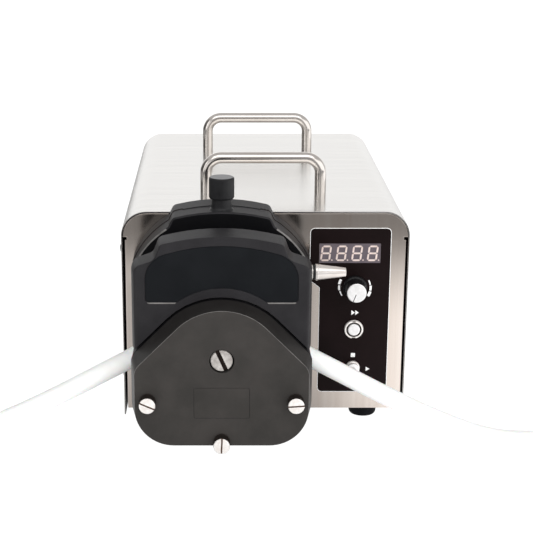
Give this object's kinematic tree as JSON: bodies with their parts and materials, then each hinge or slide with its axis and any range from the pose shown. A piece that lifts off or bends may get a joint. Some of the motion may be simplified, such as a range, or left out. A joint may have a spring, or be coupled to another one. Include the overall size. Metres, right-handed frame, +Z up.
{
  "type": "peristaltic pump",
  "caption": "Bench peristaltic pump: roller pump head with lift-up block and clear tube on the front of a brushed steel drive case with carrying handles.",
  "frame": {"origin": "on the table under the feet, at the middle of the object's width and length without the free tube ends", "axes": "+X to the right as seen from the front, +Y from the pump head to the rear panel, +Z up"},
  "size_m": [0.524, 0.49, 0.223],
  "materials": {
    "case_steel": "brushed stainless sheet, bright satin",
    "panel_steel": "brushed stainless sheet, satin",
    "handle_steel": "polished stainless rod",
    "foot_rubber": "matte black rubber",
    "zinc_steel": "zinc plated",
    "overlay_black": "satin brown-black printed film",
    "display_grey": "smoked grey display face",
    "print_white": "white print",
    "knob_black": "satin black moulded knob",
    "knob_silver": "turned and polished",
    "bright_steel": "bright nickel plated",
    "motor_paint": "semi-gloss dark grey paint",
    "cast_alloy": "as cast",
    "supply_alloy": "pressed sheet",
    "board_green": "solder mask",
    "black_plastic": "moulded satin black",
    "wire_steel": "plated wire and sheet",
    "rocker_red": "translucent red rocker",
    "head_black": "fine-textured dark grey moulding",
    "cover_grey": "fine-textured dark grey moulding",
    "label_black": "blank satin label",
    "shaft_steel": "ground steel",
    "silicone": "translucent milky silicone"
  },
  "bodies": {
    "chassis": {"case_cover": "case_steel", "side_screws": "case_steel", "front_panel": "panel_steel", "rear_panel": "panel_steel", "base_tray": "panel_steel", "handle_front": "handle_steel", "handle_rear": "handle_steel", "feet": "foot_rubber", "foot_screws": "zinc_steel", "handle_screws": "zinc_steel", "motor_bracket": "zinc_steel", "rear_screws": "zinc_steel", "head_screws": "zinc_steel", "motor_screws": "zinc_steel", "control_overlay": "overlay_black", "display_module": "display_grey", "panel_symbols": "print_white", "fast_button_bezel": "bright_steel", "run_switch_body": "bright_steel", "cover_screws": "bright_steel", "drive_motor": "motor_paint", "gearbox": "cast_alloy", "speed_encoder": "cast_alloy", "power_supply": "supply_alloy", "control_board": "board_green", "fan_frame": "black_plastic", "inlet_socket": "black_plastic", "power_switch_body": "black_plastic", "fuse_holder": "black_plastic", "fan_guard": "wire_steel", "control_connector": "wire_steel", "head_back_plate": "head_black", "head_lower_body": "head_black", "head_front_cover": "cover_grey", "guide_rods": "shaft_steel", "shaft_bearings": "shaft_steel", "tube_middle": "silicone", "tube_left": "silicone", "tube_right": "silicone"},
    "rotor": {"main_shaft": "shaft_steel", "shaft_coupling": "cast_alloy", "gearbox_shaft": "shaft_steel", "rotor_discs": "shaft_steel", "roller_axles": "shaft_steel"},
    "roller_1": {"roller_1": "shaft_steel"},
    "roller_2": {"roller_2": "shaft_steel"},
    "roller_3": {"roller_3": "shaft_steel"},
    "block": {"upper_block": "head_black", "label_plate": "label_black", "lift_knob": "head_black", "plunger_sleeve": "bright_steel", "plunger_spring": "wire_steel"},
    "plunger": {"plunger_pin": "bright_steel", "plunger_knob": "bright_steel"},
    "speed_knob": {"speed_knob": "knob_black", "speed_knob_cap": "knob_silver"},
    "fast_button": {"fast_button_cap": "knob_silver"},
    "run_lever": {"run_switch_lever": "knob_silver"},
    "power_rocker": {"power_rocker": "rocker_red"},
    "fan": {"fan_rotor": "black_plastic"}
  },
  "joints": [
    {"name": "rotor_spin", "type": "hinge", "parent": "chassis", "child": "rotor", "pos_m": [-0.0365, -0.169, 0.1], "axis": [0, 1, 0], "continuous": true},
    {"name": "roller_1_spin", "type": "hinge", "parent": "rotor", "child": "roller_1", "pos_m": [-0.0365, -0.169, 0.124], "axis": [0, 1, 0], "continuous": true},
    {"name": "roller_2_spin", "type": "hinge", "parent": "rotor", "child": "roller_2", "pos_m": [-0.05728, -0.169, 0.088], "axis": [0, 1, 0], "continuous": true},
    {"name": "roller_3_spin", "type": "hinge", "parent": "rotor", "child": "roller_3", "pos_m": [-0.01572, -0.169, 0.088], "axis": [0, 1, 0], "continuous": true},
    {"name": "block_lift", "type": "slide", "parent": "chassis", "child": "block", "axis": [0, 0, 1], "range_m": [0, 0.022]},
    {"name": "plunger_pull", "type": "slide", "parent": "block", "child": "plunger", "axis": [1, 0, 0], "range_m": [0, 0.006], "stiffness_N_per_m": 400, "springref_m": -0.004},
    {"name": "speed_turn", "type": "hinge", "parent": "chassis", "child": "speed_knob", "pos_m": [0.0755, -0.118, 0.121], "axis": [0, 1, 0], "range_deg": [0, 300]},
    {"name": "fast_press", "type": "slide", "parent": "chassis", "child": "fast_button", "axis": [0, 1, 0], "range_m": [0, 0.002], "stiffness_N_per_m": 600, "springref_m": -0.001},
    {"name": "run_toggle", "type": "hinge", "parent": "chassis", "child": "run_lever", "pos_m": [0.0755, -0.106, 0.0495], "axis": [0, 0, 1], "range_deg": [-12, 12]},
    {"name": "power_rock", "type": "hinge", "parent": "chassis", "child": "power_rocker", "pos_m": [0.07, 0.234, 0.088], "axis": [0, 0, 1], "range_deg": [0, 16]},
    {"name": "fan_spin", "type": "hinge", "parent": "chassis", "child": "fan", "pos_m": [-0.062, 0.222, 0.118], "axis": [0, 1, 0], "continuous": true}
  ],
  "couplings": [
    {"joint": "roller_1_spin", "follows": "rotor_spin", "ratio": -3.1818},
    {"joint": "roller_2_spin", "follows": "rotor_spin", "ratio": -3.1818},
    {"joint": "roller_3_spin", "follows": "rotor_spin", "ratio": -3.1818}
  ]
}
